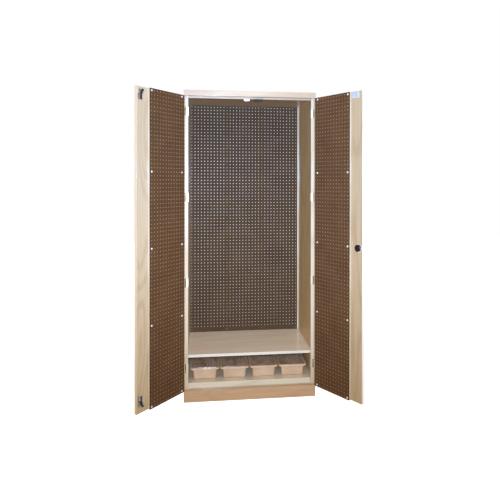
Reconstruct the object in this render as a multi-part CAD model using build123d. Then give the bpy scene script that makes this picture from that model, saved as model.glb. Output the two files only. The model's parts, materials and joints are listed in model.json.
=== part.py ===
"""Tall two-door wooden tool cabinet with perforated boards, a shelf and four lidded trays.

Millimetres. +Z is up, the doors are at the front (-Y), the origin is on the floor at the
centre of the carcass. The doors are modelled open, as the cabinet stands in use.
"""
from build123d import *
from math import floor, sqrt
import os

# Overall size of the carcass
WIDTH = 914.0
DEPTH = 610.0
HEIGHT = 2134.0

# Boards of the carcass
SIDE_THICKNESS = 19.0
TOP_THICKNESS = 19.0
BOTTOM_THICKNESS = 19.0
DECK_THICKNESS = 19.0
SHELF_THICKNESS = 19.0
BACK_THICKNESS = 6.0
STILE_WIDTH = 29.0
STILE_THICKNESS = 19.0
PLINTH_HEIGHT = 80.0
FASCIA_HEIGHT = 38.0
RAIL_THICKNESS = 19.0
TOP_RAIL_HEIGHT = 30.0
BOTTOM_RAIL_HEIGHT = 38.0
BASE_BOARD_THICKNESS = 19.0
DECK_CLEAT_WIDTH = 38.0
SHELF_TOP = 308.0
SHELF_SETBACK = 10.0
SHELF_SIDE_GAP = 0.5
BOARD_EASING = 1.0

# Doors
DOOR_THICKNESS = 19.0
DOOR_FRAME_GAP = 4.0
DOOR_MIDDLE_GAP = 3.0
DOOR_END_GAP = 3.0
DOOR_OVERLAY = 13.5
LEFT_DOOR_OPEN = 128.5
RIGHT_DOOR_OPEN = 122.5

# Perforated boards and the strips that hold them off
BOARD_THICKNESS = 6.0
HOLE_PITCH = 25.4
HOLE_RADIUS = 3.5
BOARD_EDGE = 10.0
DOOR_BATTEN_THICKNESS = 12.0
DOOR_BATTEN_WIDTH = 38.0
DOOR_BOARD_FROM_STILE = 14.0
DOOR_BOARD_FROM_FREE_EDGE = 95.5
SCALLOP_OFFSET = 0.5
BATTEN_INSET = 1.0
BACK_BATTEN_THICKNESS = 19.0
BACK_BATTEN_WIDTH = 38.0
BACK_BOARD_WALL_GAP = 1.0
COUNT_SLACK = 0.001

# Screws of the perforated boards
SCREW_SHANK_RADIUS = 2.0
SCREW_CLEARANCE = 0.05
SCREW_HEAD_RADIUS = 4.4
SCREW_HEAD_TOP_RADIUS = 3.1
SCREW_HEAD_HEIGHT = 1.8
WASHER_RADIUS = 6.2
WASHER_THICKNESS = 1.0
SCREW_BITE = 8.0
DOOR_SCREW_ROWS = 5
BACK_SCREW_ROWS = 5
BACK_SCREW_COLUMNS = 4

# Butt hinges
HINGE_COUNT = 4
HINGE_FROM_DOOR_FOOT = 143.0
HINGE_FROM_DOOR_TOP = 105.0
HINGE_LENGTH = 57.0
HINGE_BARREL_RADIUS = 4.0
HINGE_PIN_RADIUS = 2.0
HINGE_PIN_CLEARANCE = 0.06
HINGE_KNUCKLES = 5
HINGE_KNUCKLE_GAP = 0.3
HINGE_LEAF_THICKNESS = 1.5
HINGE_BARREL_GAP = 0.3
HINGE_EDGE_GAP = 0.5
HINGE_WRAP_DEPTH = 19.0
HINGE_PIN_HEAD_RADIUS = 3.4
HINGE_PIN_HEAD_HEIGHT = 2.0
HINGE_SCREW_RADIUS = 1.75
HINGE_SCREW_HEAD_RADIUS = 3.4
HINGE_SCREW_BITE = 13.0
HINGE_SCREW_COUNT = 3
HINGE_SCREW_FROM_END = 8.5

# Elbow catches of the left door
CATCH_FROM_FREE_EDGE = 24.0
CATCH_PLATE_WIDTH = 22.0
CATCH_PLATE_LENGTH = 62.0
CATCH_PLATE_THICKNESS = 1.5
CATCH_PLATE_DROP = 9.0
CATCH_SCREW_FROM_EARS = 14.0
CATCH_SCREW_FROM_END = 8.0
CATCH_EAR_THICKNESS = 1.5
CATCH_EAR_REACH = 19.0
CATCH_EAR_LENGTH = 26.0
CATCH_PIN_RADIUS = 1.8
CATCH_PIN_HEIGHT = 14.0
CATCH_PIN_CLEARANCE = 0.06
CATCH_PIVOT_DROP = 22.0
CATCH_LEVER_WIDTH = 11.0
CATCH_LEVER_THICKNESS = 2.5
CATCH_BOSS_RADIUS = 3.6
CATCH_FINGER_LENGTH = 52.0
CATCH_TOE_REACH = 4.0
CATCH_HOOK_RISE = 11.0
CATCH_HOOK_REACH = 7.0
STRIKE_WIDTH = 40.0
STRIKE_THICKNESS = 1.5
STRIKE_LIP = 12.0
STRIKE_CORNER = 6.0
STRIKE_CLEARANCE = 1.5
STRIKE_SCREW_BITE = 12.0
SPRING_WIRE_RADIUS = 0.4
SPRING_TURNS = 2
SPRING_SIDE_GAP = 0.35

# Lock of the right door
LOCK_HEIGHT = 1082.0
LOCK_FROM_FREE_EDGE = 31.0
LOCK_HOUSING_RADIUS = 23.0
LOCK_HOUSING_DEPTH = 13.0
LOCK_HOUSING_FILLET = 3.5
LOCK_RING_RADIUS = 29.0
LOCK_RING_THICKNESS = 1.0
LOCK_SPINDLE_RADIUS = 5.0
LOCK_SPINDLE_CLEARANCE = 0.06
LOCK_SPINDLE_PAST_BOLT = 3.0
LOCK_BOLT_THICKNESS = 4.0
LOCK_BOLT_HEIGHT = 14.0
LOCK_BOLT_CLEARANCE = 0.3
LOCK_BOLT_SETBACK = 0.6
LOCK_KNOB_RADIUS = 15.0
LOCK_KNOB_DEPTH = 16.0
LOCK_KNOB_GRIP = 9.0
LOCK_KNOB_BASE = 4.0
LOCK_ROSE_RADIUS = 23.0
LOCK_ROSE_THICKNESS = 3.0
LOCK_KEYWAY = (1.6, 8.0, 3.0)

# Magnetic catch of the right door
MAGNET_PLATE_SIZE = (56.0, 38.0)
MAGNET_PLATE_THICKNESS = 2.0
MAGNET_PLATE_FROM_FREE_EDGE = 27.0
MAGNET_SCREW_OFFSET = 10.0
MAGNET_PLATE_DROP = 4.0
MAGNET_CASE_WIDTH = 60.0
MAGNET_CASE_HEIGHT = 8.0
MAGNET_TOUCH_GAP = 0.4

# Trays and lids
TRAY_COUNT = 4
TRAY_LEFT_MARGIN = 22.0
TRAY_RIGHT_MARGIN = 27.0
TRAY_GAP = 5.0
TRAY_LENGTH = 340.0
TRAY_HEIGHT = 84.0
TRAY_SETBACK = 16.0
TRAY_WALL = 2.6
TRAY_FLANGE = 18.0
TRAY_FLANGE_THICKNESS = 3.0
TRAY_LIP_HEIGHT = 13.0
TRAY_RIM_WIDTH = 10.0
TRAY_RIM_RISE = 4.5
TRAY_RIM_ROUND = 3.0
TRAY_TAPER = 6.0
TRAY_CORNER = 22.0
TRAY_FOOT_ROUND = 9.0
LID_THICKNESS = 1.6
LID_GAP = 0.5
LID_BEAD_HEIGHT = 1.6
LID_BEAD_WIDTH = 3.0
LID_BEAD_INSET = 9.0

# Shelf pins
SHELF_PIN_RADIUS = 3.0
SHELF_PIN_DEPTH = 10.0
SHELF_PIN_REACH = 14.0
SHELF_PIN_FROM_END = 60.0
SHELF_PIN_CLEARANCE = 0.05

# Planes that several pieces share
FRONT = -DEPTH / 2
BACK = DEPTH / 2
HALF = WIDTH / 2
INSIDE = HALF - SIDE_THICKNESS
DOOR_INNER = FRONT + DOOR_THICKNESS
FRAME_FRONT = DOOR_INNER + DOOR_FRAME_GAP
FRAME_BACK = FRAME_FRONT + STILE_THICKNESS
RAIL_BACK = FRAME_BACK + RAIL_THICKNESS
CEILING = HEIGHT - TOP_THICKNESS
OPENING = HALF - STILE_WIDTH
BACK_PANEL_FRONT = BACK - BACK_THICKNESS
BACK_BOARD_BACK = BACK_PANEL_FRONT - BACK_BATTEN_THICKNESS
BACK_BOARD_FRONT = BACK_BOARD_BACK - BOARD_THICKNESS
BOTTOM_TOP = PLINTH_HEIGHT
DECK_TOP = PLINTH_HEIGHT + BOTTOM_RAIL_HEIGHT
TOP_RAIL_UNDER = CEILING - TOP_RAIL_HEIGHT
DOOR_LOW = PLINTH_HEIGHT + DOOR_END_GAP
DOOR_HIGH = HEIGHT - FASCIA_HEIGHT - DOOR_END_GAP
DOOR_OUTER_EDGE = OPENING + DOOR_OVERLAY
DOOR_FREE_EDGE = DOOR_MIDDLE_GAP / 2
PIVOT_X = DOOR_OUTER_EDGE + HINGE_EDGE_GAP + HINGE_BARREL_RADIUS
PIVOT_Y = FRAME_FRONT - HINGE_BARREL_GAP - HINGE_BARREL_RADIUS
HINGE_LOWEST = DOOR_LOW + HINGE_FROM_DOOR_FOOT
HINGE_HIGHEST = DOOR_HIGH - HINGE_FROM_DOOR_TOP
HINGE_SPACING = (HINGE_HIGHEST - HINGE_LOWEST) / (HINGE_COUNT - 1)
HINGE_HEIGHTS = [HINGE_LOWEST + i * HINGE_SPACING for i in range(HINGE_COUNT)]


def block(x, y, z):
    """A box from its ranges along X, Y and Z."""
    size = [max(r) - min(r) for r in (x, y, z)]
    centre = [(r[0] + r[1]) / 2 for r in (x, y, z)]
    return Pos(*centre) * Box(*size)


def eased_front(shape):
    """A board whose front face has its edges rounded over."""
    return fillet(shape.faces().sort_by(Axis.Y)[0].edges(), BOARD_EASING)


def rod(radius, start, axis, length):
    """A cylinder that runs from a point along an axis."""
    return Plane(origin=start, z_dir=axis) * Cylinder(
        radius, length, align=(Align.CENTER, Align.CENTER, Align.MIN)
    )


def taper(radius_start, radius_end, start, axis, length):
    """A truncated cone that runs from a point along an axis."""
    return Plane(origin=start, z_dir=axis) * Cone(
        radius_start, radius_end, length, align=(Align.CENTER, Align.CENTER, Align.MIN)
    )


def export(name, *shapes):
    """Write one node; several shapes stay separate solids."""
    solids = [solid for shape in shapes for solid in shape.solids()]
    export_step(solids[0] if len(solids) == 1 else Compound(children=solids), f"parts/{name}.step")


def left_door(shape):
    """Swing a piece of the closed left door to where the door stands."""
    return shape.rotate(Axis((-PIVOT_X, PIVOT_Y, 0), (0, 0, 1)), -LEFT_DOOR_OPEN)


def right_door(shape):
    """Mirror a piece of the closed left door and swing it to where the right door stands."""
    return shape.mirror(Plane.YZ).rotate(Axis((PIVOT_X, PIVOT_Y, 0), (0, 0, 1)), RIGHT_DOOR_OPEN)


def mirrored(shape):
    """Mirror a piece of the left side to the right side."""
    return shape.mirror(Plane.YZ)


def drilled_board(outline, centres, front):
    """A board with round holes at these centres, its front face on the plane y = front."""
    holes = [
        Wire.make_circle(HOLE_RADIUS, Plane(origin=(x, front, z), x_dir=(1, 0, 0), z_dir=(0, 1, 0)))
        for x, z in centres
    ]
    return Solid.extrude(Face(outline, holes), Vector(0, BOARD_THICKNESS, 0))


def fitting(length):
    """How many whole steps of the hole pitch fit into a length."""
    return floor(length / HOLE_PITCH + COUNT_SLACK)


def spread(count, last):
    """Whole numbers from 0 to last, evenly spread."""
    return [round(i * last / (count - 1)) for i in range(count)]


def pan_screw(x, y, z, length, direction):
    """A pan-head screw with its washer; y is the face that the washer lies on."""
    shank = rod(SCREW_SHANK_RADIUS, (x, y, z), (0, -direction, 0), length)
    washer = rod(WASHER_RADIUS, (x, y, z), (0, direction, 0), WASHER_THICKNESS)
    top = y + direction * WASHER_THICKNESS
    head = taper(SCREW_HEAD_RADIUS, SCREW_HEAD_TOP_RADIUS, (x, top, z), (0, direction, 0),
                 SCREW_HEAD_HEIGHT)
    return shank + washer + head


def flat_screw(x, y, z, direction, bite):
    """A countersunk screw whose head is flush with a leaf's face at y; it bites along direction."""
    head = taper(HINGE_SCREW_HEAD_RADIUS, HINGE_SCREW_RADIUS, (x, y, z), (0, direction, 0),
                 HINGE_LEAF_THICKNESS)
    shank = rod(HINGE_SCREW_RADIUS, (x, y + direction * HINGE_LEAF_THICKNESS, z),
                (0, direction, 0), bite)
    return head + shank


def flat_screw_hole(x, y, z, direction, bite):
    """The hole that a countersunk screw sits in."""
    slack = SCREW_CLEARANCE
    head = taper(HINGE_SCREW_HEAD_RADIUS + slack, HINGE_SCREW_RADIUS + slack, (x, y, z),
                 (0, direction, 0), HINGE_LEAF_THICKNESS)
    shank = rod(HINGE_SCREW_RADIUS + slack, (x, y + direction * HINGE_LEAF_THICKNESS, z),
                (0, direction, 0), bite + slack)
    return head + shank


os.makedirs("parts", exist_ok=True)

# Hinge positions that the leaves, the screws and the boards share
LEAF_X = (-PIVOT_X + HINGE_BARREL_RADIUS + HINGE_EDGE_GAP, -OPENING)
LEAF_SCREW_X = (LEAF_X[0] + LEAF_X[1]) / 2
first_screw = HINGE_SCREW_FROM_END - HINGE_LENGTH / 2
screw_pitch = -2 * first_screw / (HINGE_SCREW_COUNT - 1)
HINGE_SCREWS = [
    (LEAF_SCREW_X, height + first_screw + step * screw_pitch)
    for height in HINGE_HEIGHTS for step in range(HINGE_SCREW_COUNT)
]
FRAME_LEAF_FRONT = FRAME_FRONT - HINGE_LEAF_THICKNESS
DOOR_LEAF_BACK = DOOR_INNER + HINGE_LEAF_THICKNESS


# Carcass boards
side_z = (0, CEILING)
SHELF_UNDER = SHELF_TOP - SHELF_THICKNESS
SHELF_FRONT = FRAME_BACK + SHELF_SETBACK
SHELF_BACK = BACK_BOARD_FRONT - SHELF_SIDE_GAP
pin_z = SHELF_UNDER - SHELF_PIN_RADIUS
pin_ys = (SHELF_FRONT + SHELF_PIN_FROM_END, SHELF_BACK - SHELF_PIN_FROM_END)
side = block((-HALF, -INSIDE), (FRAME_BACK, BACK), side_z)
for pin_y in pin_ys:
    side -= rod(SHELF_PIN_RADIUS + SHELF_PIN_CLEARANCE, (-INSIDE, pin_y, pin_z), (-1, 0, 0),
                SHELF_PIN_DEPTH + SHELF_PIN_CLEARANCE)
export("side_panel_left", side)
export("side_panel_right", mirrored(side))

shelf_pins = []
for pin_y in pin_ys:
    pin = rod(SHELF_PIN_RADIUS, (-INSIDE - SHELF_PIN_DEPTH, pin_y, pin_z), (1, 0, 0),
              SHELF_PIN_DEPTH + SHELF_PIN_REACH)
    shelf_pins += [pin, mirrored(pin)]
export("shelf_pins", *shelf_pins)

export("top_panel", block((-HALF, HALF), (FRAME_FRONT, BACK), (CEILING, HEIGHT)))
export("top_fascia", eased_front(block((-HALF, HALF), (FRONT, FRAME_FRONT),
                                      (HEIGHT - FASCIA_HEIGHT, HEIGHT))))
export("plinth_front_board", eased_front(block((-HALF, HALF), (FRONT, FRAME_FRONT), (0, PLINTH_HEIGHT))))
export("bottom_panel", block((-INSIDE, INSIDE), (FRAME_BACK, BACK_PANEL_FRONT),
                             (BOTTOM_TOP - BOTTOM_THICKNESS, BOTTOM_TOP)))
under_bottom = (0, BOTTOM_TOP - BOTTOM_THICKNESS)
base_back = BACK_PANEL_FRONT - BASE_BOARD_THICKNESS
half_base = BASE_BOARD_THICKNESS / 2
export(
    "base_boards",
    block((-half_base, half_base), (FRAME_FRONT, base_back), under_bottom),
    block((-INSIDE, INSIDE), (base_back, BACK_PANEL_FRONT), under_bottom),
)
export("front_sill", block((-OPENING, OPENING), (FRAME_FRONT, FRAME_BACK),
                           (BOTTOM_TOP - BOTTOM_THICKNESS, BOTTOM_TOP)))

stile = block((-HALF, -OPENING), (FRAME_FRONT, FRAME_BACK), (0, CEILING))
for x, z in HINGE_SCREWS:
    stile -= flat_screw_hole(x, FRAME_LEAF_FRONT, z, 1, HINGE_SCREW_BITE)
export("stile_left", stile)
export("stile_right", mirrored(stile))

rail_y = (FRAME_BACK, RAIL_BACK)
CATCH_X = -(DOOR_FREE_EDGE + CATCH_FROM_FREE_EDGE)
STRIKE_SCREW_XS = [CATCH_X - STRIKE_WIDTH / 4, CATCH_X + STRIKE_WIDTH / 4]
STRIKE_SCREW_Y = (FRAME_BACK + RAIL_BACK) / 2
top_rail = block((-INSIDE, INSIDE), rail_y, (TOP_RAIL_UNDER, CEILING))
bottom_rail = block((-INSIDE, INSIDE), rail_y, (BOTTOM_TOP, DECK_TOP))
for x in STRIKE_SCREW_XS:
    top_rail -= rod(HINGE_SCREW_RADIUS + SCREW_CLEARANCE, (x, STRIKE_SCREW_Y, TOP_RAIL_UNDER),
                    (0, 0, 1), STRIKE_SCREW_BITE + SCREW_CLEARANCE)
    bottom_rail -= rod(HINGE_SCREW_RADIUS + SCREW_CLEARANCE, (x, STRIKE_SCREW_Y, DECK_TOP),
                       (0, 0, -1), STRIKE_SCREW_BITE + SCREW_CLEARANCE)
export("top_rail", top_rail)
export("bottom_rail", bottom_rail)

export("tray_deck", block((-INSIDE, INSIDE), (RAIL_BACK, BACK_PANEL_FRONT),
                          (DECK_TOP - DECK_THICKNESS, DECK_TOP)))
cleat_z = (BOTTOM_TOP, DECK_TOP - DECK_THICKNESS)
half_cleat = DECK_CLEAT_WIDTH / 2
cleat_y = (RAIL_BACK, BACK_PANEL_FRONT)
export(
    "deck_cleats",
    block((-INSIDE, -INSIDE + DECK_CLEAT_WIDTH), cleat_y, cleat_z),
    block((-half_cleat, half_cleat), cleat_y, cleat_z),
    block((INSIDE - DECK_CLEAT_WIDTH, INSIDE), cleat_y, cleat_z),
)
export("shelf", eased_front(block((-INSIDE + SHELF_SIDE_GAP, INSIDE - SHELF_SIDE_GAP),
                                  (SHELF_FRONT, SHELF_BACK), (SHELF_UNDER, SHELF_TOP))))
export("back_panel", block((-INSIDE, INSIDE), (BACK_PANEL_FRONT, BACK), (0, CEILING)))

# Perforated board at the back, its battens and screws
BACK_BOARD_LOW = SHELF_TOP + BACK_BOARD_WALL_GAP
BACK_BOARD_HIGH = CEILING - BACK_BOARD_WALL_GAP
back_rows = fitting(BACK_BOARD_HIGH - BACK_BOARD_LOW - 2 * BOARD_EDGE) + 1
back_columns = fitting(2 * (INSIDE - BACK_BOARD_WALL_GAP))
back_first_x = -INSIDE + BACK_BOARD_WALL_GAP + HOLE_PITCH / 2
back_xs = [back_first_x + i * HOLE_PITCH for i in range(back_columns)]
back_zs = [BACK_BOARD_HIGH - BOARD_EDGE - j * HOLE_PITCH for j in range(back_rows)]
board_left = back_xs[0] - HOLE_PITCH / 2
board_right = back_xs[-1] + HOLE_PITCH / 2
outline = Wire.make_polygon([
    (board_left, BACK_BOARD_FRONT, BACK_BOARD_LOW), (board_right, BACK_BOARD_FRONT, BACK_BOARD_LOW),
    (board_right, BACK_BOARD_FRONT, BACK_BOARD_HIGH), (board_left, BACK_BOARD_FRONT, BACK_BOARD_HIGH),
])
half_batten = BACK_BATTEN_WIDTH / 2
screw_columns = [back_xs[i] for i in spread(BACK_SCREW_COLUMNS, back_columns - 1)]
screw_rows = [back_zs[j] for j in spread(BACK_SCREW_ROWS, back_rows - 1)]
back_screw_places = [(x, z) for x in screw_columns for z in screw_rows]
export("back_pegboard", drilled_board(outline, back_screw_places, BACK_BOARD_FRONT))
batten_ranges = [(-INSIDE, screw_columns[0] + half_batten)]
batten_ranges += [(x - half_batten, x + half_batten) for x in screw_columns[1:-1]]
batten_ranges += [(screw_columns[-1] - half_batten, INSIDE)]
back_screw_length = BOARD_THICKNESS + SCREW_BITE
back_battens = []
for (low, high), x in zip(batten_ranges, screw_columns):
    batten = block((low, high), (BACK_BOARD_BACK, BACK_PANEL_FRONT), (BACK_BOARD_LOW, CEILING))
    for z in screw_rows:
        batten -= rod(SCREW_SHANK_RADIUS + SCREW_CLEARANCE, (x, BACK_BOARD_BACK, z), (0, 1, 0),
                      SCREW_BITE + SCREW_CLEARANCE)
    back_battens.append(batten)
export("back_battens", *back_battens)
export("back_pegboard_screws", *[
    pan_screw(x, BACK_BOARD_FRONT, z, back_screw_length, -1) for x, z in back_screw_places
])

# Door boards, built closed on the left side and then swung open
BATTEN_BACK = DOOR_INNER + DOOR_BATTEN_THICKNESS
DOOR_BOARD_BACK = BATTEN_BACK + BOARD_THICKNESS
board_hinge_edge = -OPENING + DOOR_BOARD_FROM_STILE
scallop_x = board_hinge_edge - SCALLOP_OFFSET
board_free_edge = -DOOR_FREE_EDGE - DOOR_BOARD_FROM_FREE_EDGE
door_columns = fitting(board_free_edge - scallop_x - HOLE_PITCH / 2)
door_xs = [scallop_x + (i + 1) * HOLE_PITCH for i in range(door_columns)]
door_rows = fitting(DOOR_HIGH - DOOR_LOW - 2 * BOARD_EDGE) + 1
door_first_z = (DOOR_LOW + DOOR_HIGH - (door_rows - 1) * HOLE_PITCH) / 2
door_zs = [door_first_z + j * HOLE_PITCH for j in range(door_rows)]


def scalloped_outline():
    """The door board's outline, with the row of holes that its hinge edge cuts through."""
    rise = sqrt(HOLE_RADIUS ** 2 - SCALLOP_OFFSET ** 2)
    x, y = board_hinge_edge, BATTEN_BACK
    deepest = scallop_x + HOLE_RADIUS
    edges = []
    last = (x, y, DOOR_LOW)
    for z in door_zs:
        edges.append(Edge.make_line(last, (x, y, z - rise)))
        edges.append(Edge.make_three_point_arc((x, y, z - rise), (deepest, y, z), (x, y, z + rise)))
        last = (x, y, z + rise)
    corners = [last, (x, y, DOOR_HIGH), (board_free_edge, y, DOOR_HIGH), (board_free_edge, y, DOOR_LOW),
               (x, y, DOOR_LOW)]
    edges += [Edge.make_line(a, b) for a, b in zip(corners, corners[1:])]
    return Wire(edges)


door_screw_xs = (door_xs[0], door_xs[-1])
door_screw_zs = [door_zs[j] for j in spread(DOOR_SCREW_ROWS, door_rows - 1)]
door_screw_places = [(x, z) for x in door_screw_xs for z in door_screw_zs]
door_board = drilled_board(scalloped_outline(), door_screw_places, BATTEN_BACK)
door_batten_ranges = (
    (board_hinge_edge + BATTEN_INSET + HOLE_RADIUS, board_hinge_edge + DOOR_BATTEN_WIDTH),
    (board_free_edge - DOOR_BATTEN_WIDTH, board_free_edge - BATTEN_INSET),
)
door_battens = []
for (low, high), x in zip(door_batten_ranges, door_screw_xs):
    batten = block((low, high), (DOOR_INNER, BATTEN_BACK), (DOOR_LOW, DOOR_HIGH))
    for z in door_screw_zs:
        batten -= rod(SCREW_SHANK_RADIUS + SCREW_CLEARANCE, (x, DOOR_INNER, z), (0, 1, 0),
                      DOOR_BATTEN_THICKNESS)
    door_battens.append(batten)
door_screw_length = BOARD_THICKNESS + DOOR_BATTEN_THICKNESS + SCREW_BITE
door_screws = [
    pan_screw(x, DOOR_BOARD_BACK, z, door_screw_length, 1) for x, z in door_screw_places
]

door_panel = block((-DOOR_OUTER_EDGE, -DOOR_FREE_EDGE), (FRONT, DOOR_INNER), (DOOR_LOW, DOOR_HIGH))
door_panel = fillet(door_panel.edges(), BOARD_EASING)
for x, z in door_screw_places:
    door_panel -= rod(SCREW_SHANK_RADIUS + SCREW_CLEARANCE, (x, DOOR_INNER, z), (0, -1, 0),
                      SCREW_BITE + SCREW_CLEARANCE)
for x, z in HINGE_SCREWS:
    door_panel -= flat_screw_hole(x, DOOR_LEAF_BACK, z, -1, HINGE_SCREW_BITE)

for hand, swing in (("left", left_door), ("right", right_door)):
    export(f"door_pegboard_{hand}", swing(door_board))
    export(f"door_battens_{hand}", *[swing(piece) for piece in door_battens])
    export(f"door_pegboard_screws_{hand}", *[swing(piece) for piece in door_screws])

# Hinges
knuckle_step = HINGE_LENGTH / HINGE_KNUCKLES
knuckle_length = knuckle_step - HINGE_KNUCKLE_GAP


def knuckle_range(height, index):
    """Where a knuckle of the hinge at this height starts and ends."""
    low = height - HINGE_LENGTH / 2 + index * knuckle_step + HINGE_KNUCKLE_GAP / 2
    return low, low + knuckle_length


def hinge_leaf(height, leaf_y, first):
    """A leaf with every second knuckle, from the one numbered first."""
    z_range = (height - HINGE_LENGTH / 2, height + HINGE_LENGTH / 2)
    leaf = block(LEAF_X, leaf_y, z_range)
    for index in range(first, HINGE_KNUCKLES, 2):
        low, high = knuckle_range(height, index)
        leaf += block((-PIVOT_X, LEAF_X[0]), leaf_y, (low, high))
        leaf += rod(HINGE_BARREL_RADIUS, (-PIVOT_X, PIVOT_Y, low), (0, 0, 1), high - low)
    return leaf - rod(HINGE_PIN_RADIUS + HINGE_PIN_CLEARANCE, (-PIVOT_X, PIVOT_Y, z_range[0]),
                      (0, 0, 1), HINGE_LENGTH)


frame_leaves, door_leaves, pins = [], [], []
frame_leaf_screws, door_leaf_screws = [], []
for height in HINGE_HEIGHTS:
    z_range = (height - HINGE_LENGTH / 2, height + HINGE_LENGTH / 2)
    leaf = hinge_leaf(height, (FRAME_LEAF_FRONT, FRAME_FRONT), 0)
    leaf += block((-OPENING, -OPENING + HINGE_LEAF_THICKNESS),
                  (FRAME_LEAF_FRONT, FRAME_LEAF_FRONT + HINGE_WRAP_DEPTH), z_range)
    frame_leaves.append(leaf)
    door_leaves.append(hinge_leaf(height, (DOOR_INNER, DOOR_LEAF_BACK), 1))
    pin_low = height - HINGE_LENGTH / 2 + HINGE_KNUCKLE_GAP / 2
    pin_high = height + HINGE_LENGTH / 2 - HINGE_KNUCKLE_GAP / 2
    pins.append(
        rod(HINGE_PIN_RADIUS, (-PIVOT_X, PIVOT_Y, pin_low), (0, 0, 1), pin_high - pin_low)
        + taper(HINGE_PIN_HEAD_RADIUS, HINGE_PIN_RADIUS, (-PIVOT_X, PIVOT_Y, pin_high), (0, 0, 1),
                HINGE_PIN_HEAD_HEIGHT)
    )
for index, (x, z) in enumerate(HINGE_SCREWS):
    hinge = index // HINGE_SCREW_COUNT
    frame_leaves[hinge] -= flat_screw_hole(x, FRAME_LEAF_FRONT, z, 1, HINGE_SCREW_BITE)
    door_leaves[hinge] -= flat_screw_hole(x, DOOR_LEAF_BACK, z, -1, HINGE_SCREW_BITE)
    frame_leaf_screws.append(flat_screw(x, FRAME_LEAF_FRONT, z, 1, HINGE_SCREW_BITE))
    door_leaf_screws.append(flat_screw(x, DOOR_LEAF_BACK, z, -1, HINGE_SCREW_BITE))

export("hinge_frame_leaves_left", *frame_leaves)
export("hinge_frame_leaves_right", *[mirrored(piece) for piece in frame_leaves])
export("hinge_pins_left", *pins)
export("hinge_pins_right", *[mirrored(piece) for piece in pins])
export("hinge_door_leaves_left", *[left_door(piece) for piece in door_leaves])
export("hinge_door_leaves_right", *[right_door(piece) for piece in door_leaves])
export("door_flat_screws_left", *[left_door(piece) for piece in door_leaf_screws])
export("hinge_frame_screws", *frame_leaf_screws, *[mirrored(piece) for piece in frame_leaf_screws])

# Elbow catches: one at the top of the left door, one at the bottom
catch_half = CATCH_PLATE_WIDTH / 2
lever_half = CATCH_LEVER_WIDTH / 2
PIN_Y = DOOR_INNER + CATCH_PIN_HEIGHT
PLATE_FRONT = DOOR_INNER + CATCH_PLATE_THICKNESS
EAR_BACK = DOOR_INNER + CATCH_EAR_REACH
LIP_BACK = FRAME_BACK + STRIKE_THICKNESS
HOOK_START = LIP_BACK + STRIKE_CLEARANCE


def catch_screw_heights(seat, up):
    """Where a catch's two screws sit; seat is the rail's edge, up points to it."""
    plate_end = seat - up * CATCH_PLATE_DROP
    steps = (CATCH_EAR_LENGTH + CATCH_SCREW_FROM_EARS, CATCH_PLATE_LENGTH - CATCH_SCREW_FROM_END)
    return [plate_end - up * step for step in steps]


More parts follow.
